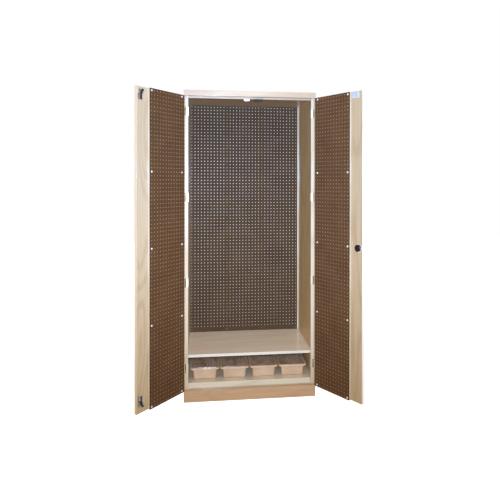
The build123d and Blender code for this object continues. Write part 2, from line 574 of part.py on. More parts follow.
def catch_pieces(seat, up):
    """Bracket, lever, pin, spring, screws and strike; seat is the rail's edge, up points to it."""
    plate_end = seat - up * CATCH_PLATE_DROP
    pivot = (CATCH_X, PIN_Y, seat - up * CATCH_PIVOT_DROP)
    bracket = block((CATCH_X - catch_half, CATCH_X + catch_half), (DOOR_INNER, PLATE_FRONT),
                    (plate_end, plate_end - up * CATCH_PLATE_LENGTH))
    for side in (-1, 1):
        outer = CATCH_X + side * catch_half
        inner = outer - side * CATCH_EAR_THICKNESS
        bracket += block((inner, outer), (DOOR_INNER, EAR_BACK),
                         (plate_end, plate_end - up * CATCH_EAR_LENGTH))
    pin_bore = rod(CATCH_PIN_RADIUS + CATCH_PIN_CLEARANCE,
                   (CATCH_X - catch_half, pivot[1], pivot[2]), (1, 0, 0), CATCH_PLATE_WIDTH)
    bracket -= pin_bore
    pin = rod(CATCH_PIN_RADIUS, (CATCH_X - catch_half, pivot[1], pivot[2]), (1, 0, 0),
              CATCH_PLATE_WIDTH)

    lever_x = (CATCH_X - lever_half, CATCH_X + lever_half)
    finger = (PIN_Y - CATCH_LEVER_THICKNESS / 2, PIN_Y + CATCH_LEVER_THICKNESS / 2)
    lever = rod(CATCH_BOSS_RADIUS, (lever_x[0], pivot[1], pivot[2]), (1, 0, 0), CATCH_LEVER_WIDTH)
    lever += block(lever_x, finger, (pivot[2], pivot[2] - up * CATCH_FINGER_LENGTH))
    arm = (pivot[2] - CATCH_LEVER_THICKNESS / 2, pivot[2] + CATCH_LEVER_THICKNESS / 2)
    hook_end = HOOK_START + CATCH_HOOK_REACH
    lever += block(lever_x, (PIN_Y, hook_end), arm)
    hook_top = pivot[2] + up * CATCH_HOOK_RISE
    hook = Polygon((HOOK_START, 0), (hook_end, 0), (HOOK_START, CATCH_HOOK_RISE * up), align=None)
    lever += block(lever_x, (HOOK_START, HOOK_START + CATCH_LEVER_THICKNESS), (pivot[2], hook_top))
    lever += extrude(
        Plane(origin=(lever_x[0], 0, pivot[2]), x_dir=(0, 1, 0), z_dir=(1, 0, 0)) * hook,
        CATCH_LEVER_WIDTH, dir=(1, 0, 0),
    )
    toe = pivot[2] - up * CATCH_FINGER_LENGTH
    lever += block(lever_x, (finger[0], finger[1] + CATCH_TOE_REACH),
                   (toe, toe + up * CATCH_LEVER_THICKNESS))
    lever -= pin_bore

    coil_radius = CATCH_PIN_RADIUS + CATCH_PIN_CLEARANCE + SPRING_WIRE_RADIUS
    space = catch_half - CATCH_EAR_THICKNESS - lever_half - 2 * SPRING_SIDE_GAP
    pitch = (space - 2 * SPRING_WIRE_RADIUS) / SPRING_TURNS
    coil_start = CATCH_X + lever_half + SPRING_SIDE_GAP + SPRING_WIRE_RADIUS
    path = Helix(pitch, pitch * SPRING_TURNS, coil_radius)
    wire = sweep(
        Plane(origin=path @ 0, z_dir=path % 0) * Circle(SPRING_WIRE_RADIUS), path=path, is_frenet=True
    )
    spring = Plane(origin=(coil_start, pivot[1], pivot[2]), x_dir=(0, 1, 0), z_dir=(1, 0, 0)) * wire

    screws = []
    for height in catch_screw_heights(seat, up):
        screws.append(
            rod(HINGE_SCREW_RADIUS, (CATCH_X, PLATE_FRONT, height), (0, -1, 0), HINGE_SCREW_BITE)
            + taper(HINGE_SCREW_HEAD_RADIUS, HINGE_SCREW_RADIUS, (CATCH_X, PLATE_FRONT, height),
                    (0, 1, 0), SCREW_HEAD_HEIGHT)
        )
        bracket -= rod(HINGE_SCREW_RADIUS + SCREW_CLEARANCE, (CATCH_X, DOOR_INNER, height), (0, 1, 0),
                       CATCH_PLATE_THICKNESS)

    half = STRIKE_WIDTH / 2
    flange = (seat, seat - up * STRIKE_THICKNESS)
    strike = block((CATCH_X - half, CATCH_X + half), (FRAME_BACK, RAIL_BACK), flange)
    lip = block((CATCH_X - half, CATCH_X + half), (FRAME_BACK, LIP_BACK),
                (seat, seat - up * (STRIKE_THICKNESS + STRIKE_LIP)))
    lip_end = lip.edges().filter_by(Axis.Y).group_by(Axis.Z)[0 if up > 0 else -1]
    strike += fillet(lip_end, STRIKE_CORNER)
    strike_screws = []
    for x in STRIKE_SCREW_XS:
        strike -= rod(HINGE_SCREW_RADIUS + SCREW_CLEARANCE, (x, STRIKE_SCREW_Y, min(flange)), (0, 0, 1),
                      STRIKE_THICKNESS)
        face = seat - up * STRIKE_THICKNESS
        strike_screws.append(
            rod(HINGE_SCREW_RADIUS, (x, STRIKE_SCREW_Y, face), (0, 0, up), STRIKE_THICKNESS + STRIKE_SCREW_BITE)
            + taper(HINGE_SCREW_HEAD_RADIUS, HINGE_SCREW_RADIUS, (x, STRIKE_SCREW_Y, face), (0, 0, -up),
                    SCREW_HEAD_HEIGHT)
        )
    return bracket, lever, pin, spring, screws, strike, strike_screws


top_catch = catch_pieces(TOP_RAIL_UNDER, 1)
bottom_catch = catch_pieces(DECK_TOP, -1)
export("elbow_catch_brackets", left_door(top_catch[0]), left_door(bottom_catch[0]))
export("elbow_lever_top", left_door(top_catch[1]))
export("elbow_lever_bottom", left_door(bottom_catch[1]))
export("elbow_catch_pins", left_door(top_catch[2]), left_door(bottom_catch[2]))
export("elbow_catch_springs", left_door(top_catch[3]), left_door(bottom_catch[3]))
export("elbow_catch_screws", *[left_door(screw) for screw in top_catch[4] + bottom_catch[4]])
export("elbow_strikes", top_catch[5], bottom_catch[5])
export("elbow_strike_screws", *top_catch[6], *bottom_catch[6])

left_panel = door_panel
for seat, up in ((TOP_RAIL_UNDER, 1), (DECK_TOP, -1)):
    for height in catch_screw_heights(seat, up):
        left_panel -= rod(HINGE_SCREW_RADIUS + SCREW_CLEARANCE, (CATCH_X, DOOR_INNER, height), (0, -1, 0),
                          HINGE_SCREW_BITE)
export("door_left", left_door(left_panel))

# Lock of the right door, built on the mirrored left door like everything else on it
LOCK_X = -(DOOR_FREE_EDGE + LOCK_FROM_FREE_EDGE)
lock_at = (LOCK_X, DOOR_INNER, LOCK_HEIGHT)
housing_base = DOOR_INNER + LOCK_RING_THICKNESS
spindle_bore = LOCK_SPINDLE_RADIUS + LOCK_SPINDLE_CLEARANCE
LOCK_SPINDLE_END = housing_base + LOCK_BOLT_THICKNESS + 2 * LOCK_BOLT_CLEARANCE + LOCK_SPINDLE_PAST_BOLT
bolt_half = LOCK_BOLT_HEIGHT / 2
bolt_reach = sqrt(LOCK_HOUSING_RADIUS ** 2 - bolt_half ** 2) - LOCK_BOLT_SETBACK
slot_half = bolt_half + LOCK_BOLT_CLEARANCE
bolt_y = (housing_base + LOCK_BOLT_CLEARANCE, housing_base + LOCK_BOLT_CLEARANCE + LOCK_BOLT_THICKNESS)
slot_y = (housing_base, bolt_y[1] + LOCK_BOLT_CLEARANCE)
bore_y = FRONT - LOCK_ROSE_THICKNESS

ring = rod(LOCK_RING_RADIUS, lock_at, (0, 1, 0), LOCK_RING_THICKNESS)
ring -= rod(spindle_bore, lock_at, (0, 1, 0), LOCK_RING_THICKNESS)
housing = rod(LOCK_HOUSING_RADIUS, (LOCK_X, housing_base, LOCK_HEIGHT), (0, 1, 0), LOCK_HOUSING_DEPTH)
housing = fillet(housing.faces().sort_by(Axis.Y)[-1].edges(), LOCK_HOUSING_FILLET)
housing -= block((LOCK_X - bolt_reach, LOCK_X + LOCK_HOUSING_RADIUS), slot_y,
                 (LOCK_HEIGHT - slot_half, LOCK_HEIGHT + slot_half))
housing -= rod(spindle_bore, (LOCK_X, housing_base, LOCK_HEIGHT), (0, 1, 0),
               LOCK_SPINDLE_END - housing_base + LOCK_BOLT_CLEARANCE)
bolt = block((LOCK_X - bolt_reach + LOCK_BOLT_CLEARANCE, LOCK_X + bolt_reach), bolt_y,
             (LOCK_HEIGHT - bolt_half, LOCK_HEIGHT + bolt_half))
fork_half = LOCK_SPINDLE_RADIUS + LOCK_BOLT_CLEARANCE
bolt -= block((LOCK_X - bolt_reach, LOCK_X), bolt_y, (LOCK_HEIGHT - fork_half, LOCK_HEIGHT + fork_half))
bolt -= rod(fork_half, (LOCK_X, bolt_y[0], LOCK_HEIGHT), (0, 1, 0), LOCK_BOLT_THICKNESS)

rose = rod(LOCK_ROSE_RADIUS, (LOCK_X, FRONT, LOCK_HEIGHT), (0, -1, 0), LOCK_ROSE_THICKNESS)
rose -= rod(spindle_bore, (LOCK_X, FRONT, LOCK_HEIGHT), (0, -1, 0), LOCK_ROSE_THICKNESS)
knob_back = bore_y - LOCK_BOLT_CLEARANCE
knob_front = knob_back - LOCK_KNOB_DEPTH
knob = rod(LOCK_KNOB_RADIUS, (LOCK_X, knob_back, LOCK_HEIGHT), (0, -1, 0), LOCK_KNOB_DEPTH)
for side in (-1, 1):
    cut = (LOCK_X + side * LOCK_KNOB_GRIP / 2, LOCK_X + side * LOCK_KNOB_RADIUS)
    knob -= block(cut, (knob_front, knob_back - LOCK_KNOB_BASE),
                  (LOCK_HEIGHT - LOCK_KNOB_RADIUS, LOCK_HEIGHT + LOCK_KNOB_RADIUS))
knob += rod(LOCK_SPINDLE_RADIUS, (LOCK_X, knob_back, LOCK_HEIGHT), (0, 1, 0), LOCK_SPINDLE_END - knob_back)
keyway_width, keyway_height, keyway_depth = LOCK_KEYWAY
knob -= block((LOCK_X - keyway_width / 2, LOCK_X + keyway_width / 2),
              (knob_front, knob_front + keyway_depth),
              (LOCK_HEIGHT - keyway_height / 2, LOCK_HEIGHT + keyway_height / 2))
export("lock_ring", right_door(ring))
export("lock_housing", right_door(housing))
export("lock_bolt", right_door(bolt))
export("lock_rose", right_door(rose))
export("lock_knob", right_door(knob))

# Magnetic catch of the right door
plate_x = (-(DOOR_FREE_EDGE + MAGNET_PLATE_FROM_FREE_EDGE + MAGNET_PLATE_SIZE[0]),
           -(DOOR_FREE_EDGE + MAGNET_PLATE_FROM_FREE_EDGE))
plate_z = (DOOR_HIGH - MAGNET_PLATE_DROP - MAGNET_PLATE_SIZE[1], DOOR_HIGH - MAGNET_PLATE_DROP)
plate_centre = sum(plate_x) / 2
plate_screw_z = plate_z[0] + MAGNET_PLATE_SIZE[1] / 4
magnet_plate = block(plate_x, (DOOR_INNER, DOOR_INNER + MAGNET_PLATE_THICKNESS), plate_z)
plate_face = DOOR_INNER + MAGNET_PLATE_THICKNESS
plate_screw = (plate_centre + MAGNET_SCREW_OFFSET, plate_face, plate_screw_z, -1, HINGE_SCREW_BITE)
magnet_plate -= flat_screw_hole(*plate_screw)
case_half = MAGNET_CASE_WIDTH / 2
magnet_case = block((plate_centre - case_half, plate_centre + case_half),
                    (plate_face + MAGNET_TOUCH_GAP, RAIL_BACK), (TOP_RAIL_UNDER - MAGNET_CASE_HEIGHT,
                                                                TOP_RAIL_UNDER))
export("magnet_plate", right_door(magnet_plate))
export("door_flat_screws_right", *[right_door(piece) for piece in door_leaf_screws],
       right_door(flat_screw(*plate_screw)))
export("magnet_case", mirrored(magnet_case))

right_panel = door_panel
right_panel -= rod(spindle_bore, (LOCK_X, FRONT, LOCK_HEIGHT), (0, 1, 0), DOOR_THICKNESS)
right_panel -= flat_screw_hole(*plate_screw)
export("door_right", right_door(right_panel))

# Trays and lids
TRAY_FRONT = RAIL_BACK + TRAY_SETBACK
tray_row = 2 * INSIDE - TRAY_LEFT_MARGIN - TRAY_RIGHT_MARGIN
tray_width = (tray_row - (TRAY_COUNT - 1) * TRAY_GAP) / TRAY_COUNT
mouth_width = tray_width - 2 * TRAY_FLANGE
mouth_length = TRAY_LENGTH - 2 * TRAY_FLANGE
mouth_corner = TRAY_CORNER - TRAY_FLANGE / 2
ledge_z = TRAY_HEIGHT - TRAY_RIM_RISE
lid_half_x = tray_width / 2 - TRAY_RIM_WIDTH - LID_GAP
lid_half_y = TRAY_LENGTH / 2 - TRAY_RIM_WIDTH - LID_GAP
lid_corner = TRAY_CORNER - TRAY_RIM_WIDTH - LID_GAP


def rounded(half_x, half_y, corner, z):
    """A rounded rectangle centred on the tray, at a height."""
    return Pos(0, 0, z) * RectangleRounded(2 * half_x, 2 * half_y, corner)


def tray_shape():
    """A tray with a ledge for its lid, a raised rim round that and a lip that hangs, at z = 0."""
    top_x, top_y = mouth_width / 2, mouth_length / 2
    low_x, low_y = top_x - TRAY_TAPER, top_y - TRAY_TAPER
    rim_x, rim_y = tray_width / 2, TRAY_LENGTH / 2
    wall = TRAY_WALL
    outside = loft([rounded(low_x, low_y, mouth_corner, 0),
                    rounded(top_x + wall, top_y + wall, mouth_corner + wall, ledge_z)])
    outside = fillet(outside.faces().sort_by(Axis.Z)[0].edges(), TRAY_FOOT_ROUND)
    inside = loft([rounded(low_x - wall, low_y - wall, mouth_corner - wall, wall),
                   rounded(top_x, top_y, mouth_corner, ledge_z)])
    inside = fillet(inside.faces().sort_by(Axis.Z)[0].edges(), TRAY_FOOT_ROUND - wall)
    lip_low = TRAY_HEIGHT - TRAY_LIP_HEIGHT
    rim = extrude(rounded(rim_x, rim_y, TRAY_CORNER, lip_low), TRAY_LIP_HEIGHT)
    rim -= extrude(rounded(rim_x - TRAY_RIM_WIDTH, rim_y - TRAY_RIM_WIDTH, TRAY_CORNER - TRAY_RIM_WIDTH,
                           ledge_z), TRAY_RIM_RISE)
    rim = fillet(rim.faces().sort_by(Axis.Z)[-1].edges(), TRAY_RIM_ROUND)
    rim -= extrude(rounded(rim_x - wall, rim_y - wall, TRAY_CORNER - wall, lip_low),
                   ledge_z - TRAY_FLANGE_THICKNESS - lip_low)
    return outside + rim - inside


def lid_shape():
    """A thin flat lid with a raised bead round it, lying on the ledge inside the rim."""
    lid = extrude(rounded(lid_half_x, lid_half_y, lid_corner, ledge_z), LID_THICKNESS)
    bead_x, bead_y = lid_half_x - LID_BEAD_INSET, lid_half_y - LID_BEAD_INSET
    bead_z = ledge_z + LID_THICKNESS
    bead = extrude(rounded(bead_x, bead_y, lid_corner / 2, bead_z), LID_BEAD_HEIGHT)
    bead -= extrude(rounded(bead_x - LID_BEAD_WIDTH, bead_y - LID_BEAD_WIDTH, lid_corner / 4, bead_z),
                    LID_BEAD_HEIGHT)
    return lid + bead


tray, lid = tray_shape(), lid_shape()
for number in range(TRAY_COUNT):
    tray_x = -INSIDE + TRAY_LEFT_MARGIN + tray_width / 2 + number * (tray_width + TRAY_GAP)
    spot = Pos(tray_x, TRAY_FRONT + TRAY_LENGTH / 2, DECK_TOP)
    export(f"tray_{number + 1}", spot * tray)
    export(f"tray_lid_{number + 1}", spot * lid)
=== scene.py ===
"""Looks for the tall two-door tool cabinet: camera, light, materials and the drilled boards."""
import json
import math

import bmesh
import bpy
from mathutils import Matrix, Vector


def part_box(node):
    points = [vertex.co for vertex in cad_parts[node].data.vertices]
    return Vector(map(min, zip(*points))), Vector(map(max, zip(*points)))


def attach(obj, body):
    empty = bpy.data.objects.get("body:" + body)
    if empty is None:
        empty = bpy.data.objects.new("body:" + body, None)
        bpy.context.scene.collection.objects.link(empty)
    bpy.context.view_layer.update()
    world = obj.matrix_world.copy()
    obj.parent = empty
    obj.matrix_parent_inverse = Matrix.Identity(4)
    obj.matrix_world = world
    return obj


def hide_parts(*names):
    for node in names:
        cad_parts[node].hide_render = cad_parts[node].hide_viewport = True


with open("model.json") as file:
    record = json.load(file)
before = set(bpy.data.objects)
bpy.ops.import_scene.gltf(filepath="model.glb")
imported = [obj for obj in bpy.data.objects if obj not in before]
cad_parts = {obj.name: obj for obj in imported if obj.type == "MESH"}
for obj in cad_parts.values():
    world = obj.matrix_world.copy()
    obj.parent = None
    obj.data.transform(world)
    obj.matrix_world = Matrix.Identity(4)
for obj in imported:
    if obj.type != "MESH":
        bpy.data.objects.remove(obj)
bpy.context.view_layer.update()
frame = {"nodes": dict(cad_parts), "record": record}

# Camera, in the picture's own pixels and in metres
IMAGE = 500
SENSOR = 36.0
FOCAL = 501.67
PRINCIPAL = (272.72, 185.24)
CAMERA_PLACE = (-0.2755, -3.7655, 1.5036)
CAMERA_YAW, CAMERA_PITCH, CAMERA_ROLL = 7.057, -0.316, 0.076

# Perforated boards, in metres
PITCH = 0.0254
HOLE_RADIUS = 0.0035
HOLE_ANGLES = [15, 45, 75, 105, 135, 165, 195, 225, 255, 285, 315, 345]
BACK_COLUMNS, BACK_ROWS = 34, 70
BACK_FROM_TOP = 0.010
DOOR_COLUMNS, DOOR_ROWS = 12, 79
DOOR_BOARD_HINGE_EDGE = -0.414
SCALLOP_OFFSET = 0.0005
DOOR_BOARD_FRONT, DOOR_BOARD_BACK = -0.274, -0.268
PIVOT = (0.446, -0.2863)
BARREL_REACH, HINGE_REACH = 0.0047, 0.2
LEFT_OPEN, RIGHT_OPEN = 128.5, 122.5
FORWARD = (0.0, -1.0, 0.0)

# Studio, in watts and metres
FRONT_POWER, FRONT_COLOUR = 1010.0, (0.46, 0.625, 1.0)
LOW_POWER, LOW_COLOUR = 99.0, (1.0, 0.73, 0.18)
HIGH_POWER, HIGH_SIZE = 14.0, 1.6
AMBIENT_POWER, AMBIENT_COLOUR = 0.48, (1.0, 0.92, 0.82)
SPOT_RADIUS = 0.07
FLOOR_HALF = 9
FLOOR_GLOW = 0.9


def rgb(red, green, blue):
    """A colour given as it shows on a screen, 0 to 255, in the shader's linear units."""
    def linear(value):
        value /= 255
        return value / 12.92 if value <= 0.04045 else ((value + 0.055) / 1.055) ** 2.4
    return (linear(red), linear(green), linear(blue), 1.0)


class Shader:
    """A node material that is being built, with short calls for the nodes it uses most."""

    def __init__(self, name, roughness=0.5, metallic=0.0, specular=0.5, coat=0.0):
        self.material = bpy.data.materials.new(name)
        self.material.use_nodes = True
        self.tree = self.material.node_tree
        self.surface = self.tree.nodes["Principled BSDF"]
        self.surface.inputs["Roughness"].default_value = roughness
        self.surface.inputs["Metallic"].default_value = metallic
        self.surface.inputs["Specular IOR Level"].default_value = specular
        self.surface.inputs["Coat Weight"].default_value = coat
        self.surface.inputs["Coat Roughness"].default_value = 0.12
        own = self.add("ShaderNodeTexCoord")
        self.place, self.normal = own.outputs["Object"], own.outputs["Normal"]

    def add(self, kind, inputs=None, **settings):
        node = self.tree.nodes.new(kind)
        for key, value in settings.items():
            setattr(node, key, value)
        for key, value in (inputs or {}).items():
            self.put(node.inputs[key], value)
        return node

    def put(self, socket, value):
        if isinstance(value, bpy.types.NodeSocket):
            self.tree.links.new(value, socket)
        else:
            socket.default_value = value

    def scaled(self, scale):
        """The place on the piece, stretched along each axis."""
        node = self.add("ShaderNodeMapping", {"Vector": self.place, "Scale": scale})
        return node.outputs["Vector"]

    def noise(self, scale, size=1.0, detail=3.0, distortion=0.0):
        node = self.add("ShaderNodeTexNoise", {"Vector": self.scaled(scale), "Scale": size,
                                               "Detail": detail, "Distortion": distortion})
        return node.outputs["Fac"]

    def maths(self, operation, a, b=0.0):
        node = self.add("ShaderNodeMath", operation=operation)
        self.put(node.inputs[0], a)
        self.put(node.inputs[1], b)
        return node.outputs[0]

    def spread(self, value, low, high, to_low=0.0, to_high=1.0):
        node = self.add("ShaderNodeMapRange", {"Value": value, "From Min": low, "From Max": high,
                                               "To Min": to_low, "To Max": to_high})
        return node.outputs["Result"]

    def mix(self, factor, a, b, blend="MIX"):
        node = self.add("ShaderNodeMix", data_type="RGBA", blend_type=blend)
        self.put(node.inputs[0], factor)
        self.put(node.inputs[6], a)
        self.put(node.inputs[7], b)
        return node.outputs[2]

    def facing(self, direction, limit):
        """One on the faces whose normal lies within the limit of a direction, nought elsewhere."""
        dot = self.add("ShaderNodeVectorMath", operation="DOT_PRODUCT")
        self.put(dot.inputs[0], self.normal)
        self.put(dot.inputs[1], direction)
        return self.maths("GREATER_THAN", dot.outputs["Value"], limit)

    def colour(self, value):
        self.put(self.surface.inputs["Base Color"], value)

    def roughness(self, value):
        self.put(self.surface.inputs["Roughness"], value)

    def bump(self, height, distance, strength=1.0):
        node = self.add("ShaderNodeBump", {"Height": height, "Distance": distance,
                                           "Strength": strength})
        self.put(self.surface.inputs["Normal"], node.outputs["Normal"])


def grain_scale(axis, across, along):
    """A stretch with the grain along one axis."""
    return tuple(along if letter == axis else across for letter in "xyz")


def wood(name, axis, pale, dark, figure, lines, coat, roughness=0.42, band=None):
    """Varnished veneer: contour figure, fibre streaks, slow colour drift and pores.

    band is a direction on the piece and the colour of the lipping on the faces that look that way.
    """
    s = Shader(name, roughness=roughness, coat=coat)
    field = s.noise(grain_scale(axis, 5.5, 0.75), detail=1.5, distortion=0.25)
    wobble = s.noise(grain_scale(axis, 60.0, 9.0), detail=3.0)
    height = s.maths("ADD", s.maths("MULTIPLY", field, lines), s.maths("MULTIPLY", wobble, 1.4))
    contour = s.maths("SINE", height)
    late = s.spread(contour, -0.2, 1.0)
    fibre = s.noise(grain_scale(axis, 900.0, 22.0), detail=2.0)
    streak = s.noise(grain_scale(axis, 120.0, 3.0), detail=2.0)
    drift = s.noise(grain_scale(axis, 3.0, 1.2), detail=2.0)
    base = s.mix(s.maths("MULTIPLY", late, figure), pale, dark)
    base = s.mix(s.spread(streak, 0.35, 0.75, 0.0, 0.30), base, dark)
    base = s.mix(s.spread(fibre, 0.45, 0.75, 0.0, 0.28), base, dark)
    base = s.mix(s.spread(drift, 0.35, 0.7, 0.0, 0.22), base, pale)
    if band:
        direction, colour = band
        lipping = s.mix(s.spread(fibre, 0.4, 0.8, 0.0, 0.18), colour, dark)
        base = s.mix(s.facing(direction, 0.8), base, lipping)
    s.colour(base)
    s.roughness(s.spread(fibre, 0.3, 0.8, roughness - 0.06, roughness + 0.1))
    s.bump(s.maths("ADD", fibre, s.maths("MULTIPLY", late, 0.4)), 0.00012, 0.5)
    return s.material


def hardboard(name, face, dark, specular):
    """Pressed fibre board: speckled brown face with a slow mottle."""
    s = Shader(name, roughness=0.7, specular=specular)
    speck = s.noise((1, 1, 1), size=1400.0, detail=2.0)
    fleck = s.noise((1, 1, 1), size=260.0, detail=3.0)
    mottle = s.noise((1, 1, 1), size=7.0, detail=3.0, distortion=0.4)
    base = s.mix(s.spread(fleck, 0.35, 0.7), face, dark)
    base = s.mix(s.spread(mottle, 0.35, 0.7, 0.0, 0.45), base, dark)
    base = s.mix(s.spread(speck, 0.55, 0.75, 0.0, 0.25), base, face)
    s.colour(base)
    s.roughness(s.spread(mottle, 0.3, 0.75, 0.65, 0.8))
    s.bump(speck, 0.00006, 0.5)
    return s.material


def metal(name, bright, dull, roughness, metallic=1.0, smudge=40.0, coat=0.0):
    """Plated or painted metal with smudges and fine brushing."""
    s = Shader(name, roughness=roughness, metallic=metallic, coat=coat)
    smear = s.noise((1, 1, 1), size=smudge, detail=4.0, distortion=0.3)
    grit = s.noise((1, 1, 0.2), size=1800.0, detail=1.0)
    s.colour(s.mix(s.spread(smear, 0.35, 0.7), bright, dull))
    s.roughness(s.spread(smear, 0.3, 0.75, roughness - 0.05, roughness + 0.12))
    s.bump(grit, 0.00003, 0.4)
    return s.material


def hinge_metal(name, leaf_painted_reflection, leaf_dull_painted_reflection, barrel, barrel_dull, far, far_dull):
    """Leaves in near-white, a painted reflection of the light on the brass, a darker brass barrel round
    the hinge's axis, and a dark screw far from it.
    """
    s = Shader(name, roughness=0.34, metallic=0.8)
    smear = s.noise((1, 1, 1), size=60.0, detail=4.0, distortion=0.3)
    axes = s.add("ShaderNodeSeparateXYZ", {"Vector": s.place})
    from_axis = s.maths("SUBTRACT", s.maths("ABSOLUTE", axes.outputs["X"]), PIVOT[0])
    depth = s.maths("SUBTRACT", axes.outputs["Y"], PIVOT[1])
    reach = s.maths("SQRT", s.maths("ADD", s.maths("MULTIPLY", from_axis, from_axis),
                                    s.maths("MULTIPLY", depth, depth)))
    on_leaf = s.maths("GREATER_THAN", reach, BARREL_REACH)
    dull = s.spread(smear, 0.35, 0.7)
    plated = s.mix(on_leaf, s.mix(dull, barrel, barrel_dull), s.mix(dull, leaf_painted_reflection, leaf_dull_painted_reflection))
    off_hinge = s.maths("GREATER_THAN", reach, HINGE_REACH)
    s.colour(s.mix(off_hinge, plated, s.mix(dull, far, far_dull)))
    s.roughness(s.spread(smear, 0.3, 0.75, 0.3, 0.48))
    s.bump(s.noise((1, 1, 0.2), size=1800.0, detail=1.0), 0.00003, 0.4)
    return s.material


def plastic(name, colour, deep, roughness, coat=0.0):
    """Moulded plastic with a fine skin and slow colour drift."""
    s = Shader(name, roughness=roughness, coat=coat)
    skin = s.noise((1, 1, 1), size=900.0, detail=2.0)
    cloud = s.noise((1, 1, 1), size=9.0, detail=2.0)
    s.colour(s.mix(s.spread(cloud, 0.35, 0.7), colour, deep))
    s.roughness(s.spread(cloud, 0.3, 0.75, roughness - 0.04, roughness + 0.08))
    s.bump(skin, 0.00004, 0.5)
    return s.material


def lid_plastic(name, colour, deep, streak, edge):
    """See-through lid: cloudy, with pale streaks from front to back, painted reflections, and a dark
    front edge, painted shade under the tray's front rim.
    """
    s = Shader(name, roughness=0.2, coat=0.5)
    cloud = s.noise((1, 1, 1), size=14.0, detail=2.0)
    reflection_streaks = s.noise((150.0, 5.0, 1.0), detail=2.0)
    base = s.mix(s.spread(cloud, 0.35, 0.7), colour, deep)
    # Pale streaks: painted reflections of the light.
    base = s.mix(s.spread(reflection_streaks, 0.55, 0.75, 0.0, 0.55), base, streak)
    # Front-facing faces darker: painted shade under the tray's front rim.
    s.colour(s.mix(s.facing(FORWARD, 0.7), base, edge))
    s.roughness(s.spread(reflection_streaks, 0.4, 0.8, 0.16, 0.34))
    s.bump(s.noise((1, 1, 1), size=900.0, detail=2.0), 0.00004, 0.5)
    return s.material


# One birch ply in several copies, each coloured to show as bright as its place is lit or shaded: painted
# light on the stiles, shelf and deck, painted shade on the sides and level pieces, and painted light and
# shade between the two doors, the right door's edge lipping near white.
birch_doors_painted_light_and_shade = {
    hand: wood("birch_door_" + hand, "z", pale, dark, 0.36, 70.0, 0.3,
               band=((side * math.cos(math.radians(angle)), -math.sin(math.radians(angle)), 0.0),
                     lipping))
    for hand, side, angle, pale, dark, lipping in (
        ("left", 1, LEFT_OPEN, rgb(205, 182, 146), rgb(166, 132, 92), rgb(222, 196, 160)),
        ("right", -1, RIGHT_OPEN, rgb(192, 166, 128), rgb(156, 120, 80), rgb(250, 246, 236)))
}
birch_side_painted_shade = wood("birch_side_painted_shade", "z", rgb(222, 190, 134), rgb(178, 134, 78), 0.45, 50.0, 0.2)
birch_stile_painted_light = wood("birch_stile_painted_light", "z", rgb(208, 192, 162), rgb(176, 148, 110), 0.35, 60.0, 0.3)
birch_level_painted_shade = wood("birch_level_painted_shade", "x", rgb(200, 176, 142), rgb(164, 130, 92), 0.4, 45.0, 0.3)
birch_shelf_painted_light = wood("birch_shelf_painted_light", "x", rgb(255, 234, 198), rgb(222, 190, 152), 0.3, 40.0, 0.6,
                   band=(FORWARD, rgb(214, 206, 186)))
birch_deck_painted_light = wood("birch_deck_painted_light", "x", rgb(226, 206, 172), rgb(190, 160, 118), 0.3, 45.0, 0.3)
pine = {
    axis: wood("pine_" + axis, axis, rgb(212, 200, 172), rgb(182, 160, 122), 0.4, 38.0, 0.2)
    for axis in "xyz"
}
plinth = wood("plinth_wood", "x", rgb(190, 154, 114), rgb(148, 110, 72), 0.16, 60.0, 0.3)
board_back = hardboard("hardboard_back", rgb(92, 72, 48), rgb(67, 49, 32), 0.05)
board_door = hardboard("hardboard_door", rgb(106, 75, 46), rgb(76, 50, 29), 0.15)
board_cut = hardboard("hardboard_cut", rgb(190, 158, 120), rgb(150, 118, 84), 0.1)
# Darker brown for the boards' outer edge walls: painted shade along the board edges.
board_edge_shade = hardboard("hardboard_edge_shade", rgb(66, 46, 28), rgb(44, 30, 18), 0.1)
zinc = metal("zinc", rgb(214, 216, 220), rgb(160, 164, 170), 0.3)
spring = metal("spring_steel", rgb(190, 190, 192), rgb(140, 140, 142), 0.25)
blued = metal("blued_steel", rgb(52, 58, 84), rgb(26, 28, 42), 0.3)
white = metal("white_paint", rgb(240, 236, 228), rgb(216, 208, 196), 0.35, metallic=0.0, coat=0.3)
black = metal("black_enamel", rgb(26, 25, 26), rgb(12, 12, 13), 0.3, metallic=0.0, coat=0.5)
pale_ring = metal("pale_ring", rgb(216, 204, 182), rgb(184, 168, 140), 0.4, metallic=0.0)
plate_zinc = metal("plate_zinc", rgb(214, 222, 228), rgb(176, 186, 196), 0.4, metallic=0.25)
nickel = metal("nickel", rgb(206, 202, 194), rgb(158, 154, 146), 0.28)
dark_plastic = plastic("dark_plastic", rgb(56, 48, 42), rgb(34, 28, 24), 0.45)
tan = plastic("tan_plastic", rgb(205, 176, 143), rgb(188, 157, 123), 0.36, coat=0.2)
# The third colour is the painted reflection streaks, the fourth the painted shade at the front edge.
smoky = lid_plastic("smoky_plastic", rgb(188, 162, 134), rgb(142, 118, 92), rgb(226, 208, 184),
                    rgb(112, 88, 64))
# The leaves' near-white is a painted reflection of the light on the brass.
hinge = hinge_metal("hinge_plate", rgb(246, 238, 214), rgb(222, 206, 168),
                    rgb(150, 108, 46), rgb(84, 58, 22), rgb(38, 48, 66), rgb(24, 28, 40))
backing = wood("backing_ply", "z", rgb(246, 242, 232), rgb(226, 216, 198), 0.3, 45.0, 0.0)
bronze_screw = metal("bronze_screw", rgb(112, 94, 74), rgb(80, 64, 48), 0.5, metallic=0.3)

FINISHES = {
    "birch_ply": birch_side_painted_shade, "pale_pine": pine["x"], "plinth_wood": plinth, "hardboard": board_door,
    "brass_plate": hinge, "zinc_steel": zinc, "spring_steel": spring, "blued_steel": blued,
    "white_screw": white, "black_lock": black, "pale_ring": pale_ring, "nickel_lock": nickel,
    "dark_magnet": dark_plastic, "tan_plastic": tan, "smoky_plastic": smoky,
}
